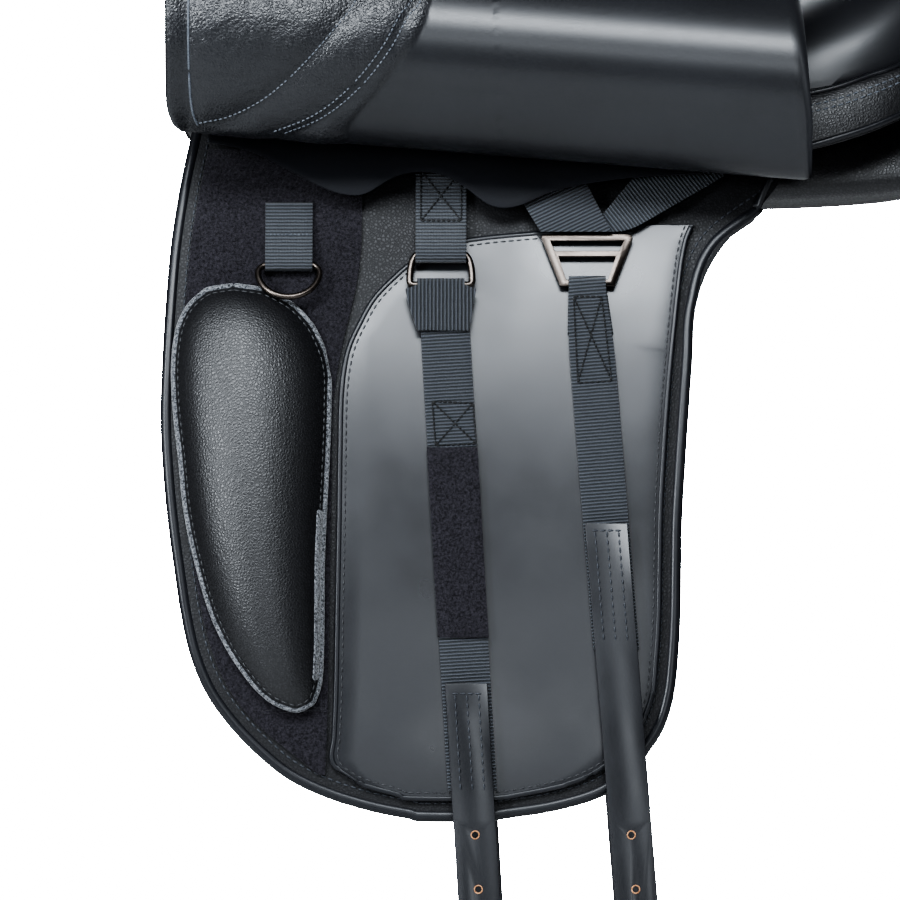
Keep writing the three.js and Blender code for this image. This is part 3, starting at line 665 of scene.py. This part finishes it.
def build_skirts(name, side):
    leather = {part: dress(f"{name}_{part}", f"{name}_{part}_leather", GRAINED, "grained_leather")
               for part in ("front_skirt", "skirt", "rear_skirt")}
    rear = Surface(side, leather["rear_skirt"])
    trim(f"{name}_rear_welt", rear, smooth_line(REAR_WELT), WELT, BOUND)
    second_row = [(x, z - REAR_SKIRT_ROW_GAP) for x, z in REAR_SKIRT_STITCHES]
    sew(f"{name}_rear_skirt_stitches", rear, [smooth_line(REAR_SKIRT_STITCHES), smooth_line(second_row)],
        BLUE_THREAD)
    trim(f"{name}_rear_skirt_hem", rear, smooth_line(skirt_hem(name)), SKIRT_HEM, BOUND)


def skirt_hem(name):
    """The lower edge of the rear skirt, a little inside its outline and short of its rear end."""
    columns = {}
    for vertex in frame["nodes"][f"{name}_rear_skirt"].data.vertices:
        columns.setdefault(round(vertex.co.x / MM), []).append(vertex.co.z / MM)
    return [(x, min(columns[x]) + SKIRT_HEM_INSET) for x in sorted(columns)][:-2]


# ---- sweat flap and what is sewn to it ----

def build_sweat_flap(name, side):
    node = f"{name}_sweat_flap"
    flap = dress(node, f"{name}_sweat_flap_leather", BASE, "smooth_leather", bevel=1.2)
    surface = Surface(side, flap)
    outline = rim(node)
    trim(f"{name}_binding", surface, inset(outline, BINDING_INSET), BINDING, BOUND, sides=14)
    sew(f"{name}_binding_stitches", surface, [inset(outline, BINDING_STITCH_INSET)], DARK_BLUE_THREAD)


def build_patch(name, side):
    patch = dress(f"{name}_hook_and_loop_patch", f"{name}_loop_patch", PILE, "hook_and_loop")
    surface = Surface(side, patch)
    for number, join in enumerate(PATCH_JOINS):
        trim(f"{name}_patch_join_{number}", surface, resample(join, 1), PATCH_JOIN, PILE)


def build_guard(name, side):
    node = f"{name}_girth_guard"
    guard = dress(node, f"{name}_girth_guard_leather", SATIN, "smooth_leather", bevel=1.0)
    surface = Surface(side, guard)
    outline = rim(node)
    trim(f"{name}_guard_trim", surface, inset(outline, GUARD_TRIM_INSET), GUARD_TRIM, BOUND)
    sew(f"{name}_guard_stitches", surface, [inset(outline, GUARD_STITCH_INSET)], THREAD,
        lift=GUARD_STITCH_LIFT)


def build_valance(name):
    node = f"{name}_valance"
    piece = dress(node, f"{name}_valance_leather", DULL, "smooth_leather")


def block_outline(front, rear):
    """A closed line round the knee block, with a tip above and below its two edges."""
    top = ((front[0][0] + rear[0][0]) / 2, front[0][1] + BLOCK_TIP)
    bottom = ((front[-1][0] + rear[-1][0]) / 2, front[-1][1] - BLOCK_TIP)
    return smooth_line([top] + front[1:-1] + [bottom] + rear[-2:0:-1] + [top])


def build_knee_block(name, side):
    node = f"{name}_knee_block"
    body = frame["nodes"][node]["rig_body"]
    block = dress(node, f"{name}_knee_block_leather", GRAINED, "grained_leather", bevel=1.5, sharp=80)
    surface = Surface(side, block)
    front, rear = edges(node)
    outline = block_outline(front, rear)
    trim(f"{name}_block_edging", surface, inset(outline, BLOCK_EDGE_INSET), BLOCK_EDGING, EDGING,
         body)
    sew(f"{name}_block_stitches", surface, [inset(outline, BLOCK_STITCH_INSET)], THREAD,
        body=body)
    low, high = BLOCK_BAND_ENDS
    band = smooth_line([(x - BLOCK_BAND_INSET, z) for x, z in rear if low < z < high])
    trim(f"{name}_block_side_band", surface, band, BLOCK_BAND, EDGING, body)


# ---- straps, rings and buckle ----

def strap(node, material, along=(0, 1)):
    """A webbing strap whose ribs lie across a direction in X and Z."""
    piece = smooth_copy(node, f"{node}_cloth", material, bevel=0.25)
    lay_texture(piece, along)
    return attach(piece, node)


def build_straps(name, side):
    tab = strap(f"{name}_point_strap_tab", WEB)
    anchor = strap(f"{name}_front_strap_anchor", WEB)
    strap(f"{name}_front_strap_collar", WEB_PAINTED_SHADE, (1, 0))
    front_web = strap(f"{name}_front_strap_web", WEB, (-FRONT_SLOPE, 1))
    rear_web = strap(f"{name}_rear_strap_web", WEB, (-REAR_SLOPE, 1))
    strap(f"{name}_v_web_front_arm", WEB, V_FRONT_ARM)
    strap(f"{name}_v_web_rear_arm", WEB, V_REAR_ARM)
    dress(f"{name}_front_strap_hook_strip", f"{name}_hook_strip", PILE, "hook_and_loop", bevel=0.2)
    build_rings(name)
    sew_box(f"{name}_anchor_stitches", side, anchor, ANCHOR_BOX, "saddle")
    sew_box(f"{name}_front_web_stitches", side, front_web, FRONT_WEB_BOX, f"{name}_front_strap")
    sew_box(f"{name}_rear_web_stitches", side, rear_web, REAR_WEB_BOX, f"{name}_rear_strap")
    sew(f"{name}_point_tab_stitches", Surface(side, tab), [resample(POINT_TAB_STITCHES, 1)], BLUE_THREAD,
        TAB_STITCH)


def build_rings(name):
    for node in ("point_strap_dee", "front_strap_dee"):
        ring = smooth_copy(f"{name}_{node}", f"{name}_{node}_metal", GUNMETAL, bevel=0, sharp=170)
        swell(ring, RING_SWELL)
        attach(ring, f"{name}_{node}")
    dress(f"{name}_girth_buckle_frame", f"{name}_buckle_metal", GUNMETAL, "gunmetal", levels=0, bevel=0.7,
          sharp=25)


def sew_box(name, side, cloth, corners, body):
    """A sewn box with a cross in it, on a strap."""
    lines = [resample(line, 1) for line in box_with_cross(corners)]
    sew(name, Surface(side, cloth), lines, SEWING, WEB_STITCH, body, WEB_STITCH_LIFT)


def build_billet(name, side, which, slope, rows):
    node = f"{name}_{which}_billet"
    body = f"{name}_{which}_strap"
    leather = dress(node, f"{node}_leather", SMOOTH, "smooth_leather", levels=0, bevel=0.9, sharp=40)
    surface = Surface(side, leather)
    low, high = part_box(node)
    start, end = rows

    def place(across, z):
        """The point at a height, across from the middle line of the billet."""
        return low.x / MM + BILLET_HALF_WIDTH + slope * (high.z / MM - z) + across, z

    lines = [[place(across, start), place(across, end)] for across in BILLET_ROWS]
    lines.append([place(-BILLET_CROSS_ROW, start), place(BILLET_CROSS_ROW, start)])
    sew(f"{node}_stitches", surface, [resample(line, 1) for line in lines], DARK_BLUE_THREAD, body=body)
    for number, hole in enumerate(billet_holes(node)):
        build_hole_rim(f"{node}_hole_{number}", surface, hole, body)


def build_hole_rim(name, surface, hole, body):
    """The raw edge round a billet's hole, where the hole has leather round it."""
    radius = HOLES["radius"]
    turns = np.linspace(0, math.tau, HOLES["points"])
    circle = [(hole[0] + radius * math.cos(a), hole[1] + radius * math.sin(a)) for a in turns]
    line, normals = surface.cast(circle, HOLE_RIM[2])
    if len(line) > HOLES["points"] // 2:
        edge = tube(name, line, normals, HOLE_RIM, RAW_EDGE, sides=6, end_size=1.0)
        attach(edge, body=body)


def billet_holes(node):
    """The middles of a billet's holes: at each height, the middle X of the CAD corners near it."""
    corners = [v.co for v in frame["nodes"][node].data.vertices]
    holes = []
    for number in range(HOLES["count"]):
        z = HOLES["lowest"] + number * HOLES["pitch"]
        near = sorted(co.x / MM for co in corners if abs(co.z / MM - z) < HOLES["radius"])
        if near:
            holes.append((near[len(near) // 2], z))
    return holes


# ---- outer flap ----

def joint(name):
    return next(j for j in frame["joints"] if j["name"] == name)


def curve(start, control, end, steps):
    """A quadratic curve as steps + 1 points."""
    t = np.linspace(0, 1, steps + 1)[:, None]
    return (1 - t) ** 2 * start + 2 * t * (1 - t) * control + t ** 2 * end


class FlapSection:
    """The underside of a turned up flap, in section at X = 0, as points of (distance, height) in metres.

    It has three parts, each between two bodies: the first bend, the second bend, and the last bend with
    the leaf that stands up from it.
    """

    def __init__(self, name):
        folds = [joint(f"{name}_{fold}") for fold in FLAP_FOLDS]
        a, b, c = [np.array([abs(fold["pos_m"][1]), fold["pos_m"][2]]) for fold in folds]
        axis = folds[0]["axis"]
        self.slope = -axis[2] / axis[0]
        low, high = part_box(f"{name}_outer_flap")
        self.front, self.rear = low.x, high.x
        top = high.z + self.slope * self.front - FLAP_TIP_INSET * MM
        tip = np.array([min(abs(low.y), abs(high.y)) + FLAP_TIP_INSET * MM, top])
        root = a + np.array(FLAP_ROOT) * MM
        ab, bc = (a + b) / 2, (b + c) / 2
        leaf = (tip - c) / np.linalg.norm(tip - c)
        past = c + leaf * np.linalg.norm(c - bc)
        under_a, under_b = a - np.array([0, FOLD_SAG[0] * MM]), b - np.array([0, FOLD_SAG[1] * MM])
        first, second, last = BEND_STEPS
        self.parts = [curve(root, under_a, ab, first), curve(ab, under_b, bc, second),
                      np.vstack([curve(bc, c, past, last), resample([past, tip], LEAF_STEP * MM)[1:]])]
        self.ends = [(root, ab), (ab, bc), (bc, past)]


def distance_to(line, points):
    """The distance from each flat point to a line, and whether the point lies on the line's left."""
    best = np.full(len(points), 1e9)
    left = np.zeros(len(points), bool)
    for a, b in zip(line, line[1:]):
        along = b - a
        share = np.clip(((points - a) @ along) / (along @ along), 0, 1)
        off = points - (a + share[:, None] * along)
        far = np.linalg.norm(off, axis=1)
        nearer = far < best
        best[nearer] = far[nearer]
        left[nearer] = (along[0] * off[:, 1] - along[1] * off[:, 0])[nearer] > 0
    return best, left


def quilting(x, z):
    """How far the padded front of the flap stands out, in millimetres, and where it is grained."""
    flat = np.column_stack([x, z])
    seam, _ = distance_to(smooth_line(QUILT_SEAM, QUILT_LINE_STEP), flat)
    sewn, _ = distance_to(smooth_line(QUILT_STITCHES, QUILT_LINE_STEP), flat)
    edge, inside = distance_to(smooth_line(QUILT_EDGE, QUILT_LINE_STEP), flat)
    band = np.abs(x - FLAP_FRONT - FLAP_FRONT_BAND)
    puff = np.full(len(flat), float(QUILT["rise"]))
    for gap in (seam, sewn, band):
        puff *= 1 - PINCH["depth"] * np.exp(-(gap / PINCH["reach"]) ** PINCH["power"])
    signed = np.where(inside, edge, -edge)
    cover = np.clip(signed / QUILT["step"] + 0.5, 0, 1)
    thin = np.clip(signed / QUILT["taper"], 0, 1)
    grained = cover * np.clip((sewn + GRAIN["margin"]) / GRAIN["fade"], GRAIN["least"], 1)
    return cover * (QUILT["base"] + puff * thin), grained


def padding(number, x, height):
    """The quilting's lift in metres and its grain, at the points of one part of the flap."""
    if number == 0:
        return np.zeros(x.shape), np.zeros(x.shape)
    lift, grained = quilting(x.ravel() / MM, height.ravel() / MM)
    lift = (lift * MM).reshape(x.shape)
    if number == 1:
        lift *= np.clip(np.arange(len(x)) / QUILT_FADE_ROWS, 0, 1)[:, None]
    return lift, grained.reshape(x.shape)


def roll_inset(height):
    """How far the rounded front corner of the roll draws back at a height, in metres."""
    low = np.clip((ROLL_CORNER["from"] * MM - height) / (ROLL_CORNER["height"] * MM), 0, 1)
    return ROLL_CORNER["inset"] * MM * (1 - math.sqrt(1 - low ** 2))


def leaf_inset(travelled, length):
    """How far the leaf's rounded corners draw in, at a distance along its whole length."""
    radius = LEAF_CORNER_RADIUS * MM
    into = np.maximum(0, travelled - (length - radius))
    return radius - np.sqrt(np.maximum(0, radius ** 2 - into ** 2))


def flap_columns(section):
    """Where the flap's columns of points lie between its front and its rear, as shares from 0 to 1."""
    fine = np.arange(section.front, FLAP_FINE_END * MM, FLAP_STEP * MM)
    wide = np.linspace(FLAP_FINE_END * MM, section.rear, FLAP_REAR_COLUMNS)
    return (np.concatenate([fine, wide]) - section.front) / (section.rear - section.front)


def flap_grid(section, number, line):
    """The X of each point of one part of the flap, with a row for each point of its line."""
    share = flap_columns(section)
    length = np.cumsum(np.linalg.norm(np.diff(section.parts[LEAF], axis=0), axis=1))[-1]
    rows = []
    for travelled, height in zip(np.linspace(0, length, len(line)), line[:, 1]):
        front, rear = section.front, section.rear
        if number == LEAF:
            front += leaf_inset(travelled, length)
            rear -= leaf_inset(travelled, length) + LEAF_NARROWING * MM * travelled / length
        else:
            front += roll_inset(height)
        rows.append(front + share * (rear - front))
    return np.array(rows)


def edge_rounding(x):
    """How far the flap's two faces draw together near its front and rear edges, in metres."""
    radius = FLAP_THICKNESS / 2 * MM
    border = np.minimum(x - x[:, :1], x[:, -1:] - x)
    short = 1 - np.clip(border / radius, 0, 1)
    return radius * (1 - np.sqrt(np.maximum(0, 1 - short ** 2)))


def build_flap_part(name, side, section, number):
    line = resample(section.parts[number], FLAP_STEP * MM)
    x = flap_grid(section, number, line)
    distance = np.repeat(line[:, :1], x.shape[1], 1)
    height = np.repeat(line[:, 1:], x.shape[1], 1) - section.slope * x
    lift, grained = padding(number, x, height)
    along = directions(line)

    def skin(offset):
        return np.stack([x, distance + along[:, 1:] * offset, height - along[:, :1] * offset], -1)

    outer = skin(lift - edge_rounding(x))
    inner = skin(edge_rounding(x) - FLAP_THICKNESS * MM)
    piece = two_sided(f"{name}_flap_part_{number}", outer, inner, side, FLAP, number == LEAF)
    attribute = piece.data.attributes.new("grain", "FLOAT", "POINT")
    values = np.concatenate([grained.ravel(), np.zeros(grained.size)])
    attribute.data.foreach_set("value", values.astype(np.float32))
    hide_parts(*[f"{name}_{node}" for node in FLAP_NODES[number]])
    bend_with_flap(piece)


def build_outer_flap(name, side):
    section = FlapSection(name)
    for number in range(len(section.parts)):
        build_flap_part(name, side, section, number)
    for number in (1, LEAF):
        build_flap_sewing(name, side, section, number)


def two_sided(name, outer, inner, side, material, close_end):
    """A sheet between two grids of (X, distance, height) points."""
    rows, columns = outer.shape[:2]
    points = np.concatenate([outer.reshape(-1, 3), inner.reshape(-1, 3)])
    points[:, 1] *= side
    size = rows * columns
    at = np.arange(size).reshape(rows, columns)
    faces = []
    for i in range(rows - 1):
        for j in range(columns - 1):
            a, b, c, d = at[i, j], at[i, j + 1], at[i + 1, j + 1], at[i + 1, j]
            faces.append((a, b, c, d))
            faces.append((d + size, c + size, b + size, a + size))
        for j, turned in ((0, True), (columns - 1, False)):
            a, d = at[i, j], at[i + 1, j]
            wall = (a, a + size, d + size, d)
            faces.append(wall[::-1] if turned else wall)
    if close_end:
        for j in range(columns - 1):
            a, b = at[-1, j], at[-1, j + 1]
            faces.append((a, b, b + size, a + size))
    faces = [tuple(int(v) for v in (face if side < 0 else face[::-1])) for face in faces]
    return new_piece(name, points, faces, material)


def build_flap_sewing(name, side, section, number):
    """The piping and the stitch rows on one part of the flap."""
    surface = Surface(side, bpy.data.objects[f"{name}_flap_part_{number}"])
    start, end = section.ends[number]
    low = max(start[1] / MM, QUILT_BOTTOM)
    high = QUILT_TOP if number == LEAF else end[1] / MM

    def on_part(line):
        return [(x, z) for x, z in smooth_line(line) if low < z + section.slope * x <= high]

    back, up = QUILT_SECOND_ROW
    second_row = [(x + back, z + up) for x, z in QUILT_STITCHES]
    sewn = [surface.cast(on_part(line)) for line in (QUILT_STITCHES, second_row, QUILT_SEAM)]
    route, normals = surface.cast(on_part(FRONT_PIPING), FLAP_PIPING[2])
    pieces = [stitches(f"{name}_flap_stitches_{number}", sewn, BLUE_THREAD, FLAP_STITCH),
              tube(f"{name}_flap_piping_{number}", route, normals, FLAP_PIPING, BLUE_THREAD)]
    for piece in pieces:
        bend_with_flap(piece)


def bend_with_flap(piece):
    """Bakes a piece's placement into its mesh."""
    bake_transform(piece)


def build_stirrup_bar(name):
    for node in (f"{name}_stirrup_bar", f"{name}_stirrup_bar_catch"):
        dress(node, f"{node}_metal", STEEL, "steel", levels=0, bevel=1.0, sharp=30)


# ---- stage ----

def build_floor():
    height = CAD_BOX[0].z - FLOOR_DROP * MM
    reach = FLOOR_REACH * MM
    corners = [(-reach, -reach, height), (reach, -reach, height), (reach, reach, height),
               (-reach, reach, height)]
    material = plain("pale floor", (0.72, 0.72, 0.72), (0.76, 0.76, 0.76), 0.8, 3.0)
    new_piece("floor", corners, [(0, 1, 2, 3)], material)


def build_camera():
    camera = bpy.data.objects.new("camera", bpy.data.cameras.new("camera"))
    bpy.context.scene.collection.objects.link(camera)
    camera.location = (CAMERA_X * MM, (STRAP_PLANE - CAMERA_DISTANCE) * MM, VIEW_CENTRE[1] * MM)
    camera.rotation_euler = (math.pi / 2, 0, 0)
    camera.data.sensor_width = SENSOR_WIDTH
    camera.data.lens = SENSOR_WIDTH * CAMERA_DISTANCE / VIEW_WIDTH
    camera.data.shift_x = (VIEW_CENTRE[0] - CAMERA_X) / VIEW_WIDTH
    camera.data.clip_end = 100
    bpy.context.scene.camera = camera


def build_room():
    """A white room that looks bright to the camera and puts little light on the saddle."""
    world = bpy.data.worlds.new("white room")
    world.use_nodes = True
    bpy.context.scene.world = world
    nodes, links = world.node_tree.nodes, world.node_tree.links
    lit = nodes["Background"]
    lit.inputs["Color"].default_value = (1, 1, 1, 1)
    lit.inputs["Strength"].default_value = ROOM_LIGHT
    seen = nodes.new("ShaderNodeBackground")
    seen.inputs["Strength"].default_value = ROOM_WHITE
    rays = nodes.new("ShaderNodeLightPath")
    mix = nodes.new("ShaderNodeMixShader")
    links.new(rays.outputs["Is Camera Ray"], mix.inputs["Fac"])
    links.new(lit.outputs["Background"], mix.inputs[1])
    links.new(seen.outputs["Background"], mix.inputs[2])
    links.new(mix.outputs["Shader"], nodes["World Output"].inputs["Surface"])


def soft_box(name, elevation, azimuth, distance, width, height, power):
    """An area light that faces the saddle."""
    light = bpy.data.lights.new(name, "AREA")
    light.shape = "RECTANGLE"
    light.size, light.size_y = width, height
    light.energy = power
    light.color = LIGHT_COLOUR
    lamp = bpy.data.objects.new(name, light)
    bpy.context.scene.collection.objects.link(lamp)
    e, a = math.radians(elevation), math.radians(azimuth)
    away = Vector((math.sin(a) * math.cos(e), -math.cos(a) * math.cos(e), math.sin(e)))
    lamp.location = Vector([place * MM for place in LIGHT_TARGET]) + away * distance
    lamp.rotation_euler = away.to_track_quat("Z", "Y").to_euler()


def build_stage():
    build_floor()
    build_camera()
    build_room()
    bpy.context.scene.view_settings.look = "AgX - High Contrast"
    for box in SOFT_BOXES:
        soft_box(*box)


build_stage()
build_middle()
for name, side in SIDES:
    build_panel(name)
    build_sweat_flap(name, side)
    build_patch(name, side)
    build_guard(name, side)
    build_valance(name)
    build_knee_block(name, side)
    build_straps(name, side)
    build_billet(name, side, "front", FRONT_SLOPE, FRONT_BILLET_STITCHES)
    build_billet(name, side, "rear", REAR_SLOPE, REAR_BILLET_STITCHES)
    build_outer_flap(name, side)
    build_skirts(name, side)
    build_stirrup_bar(name)
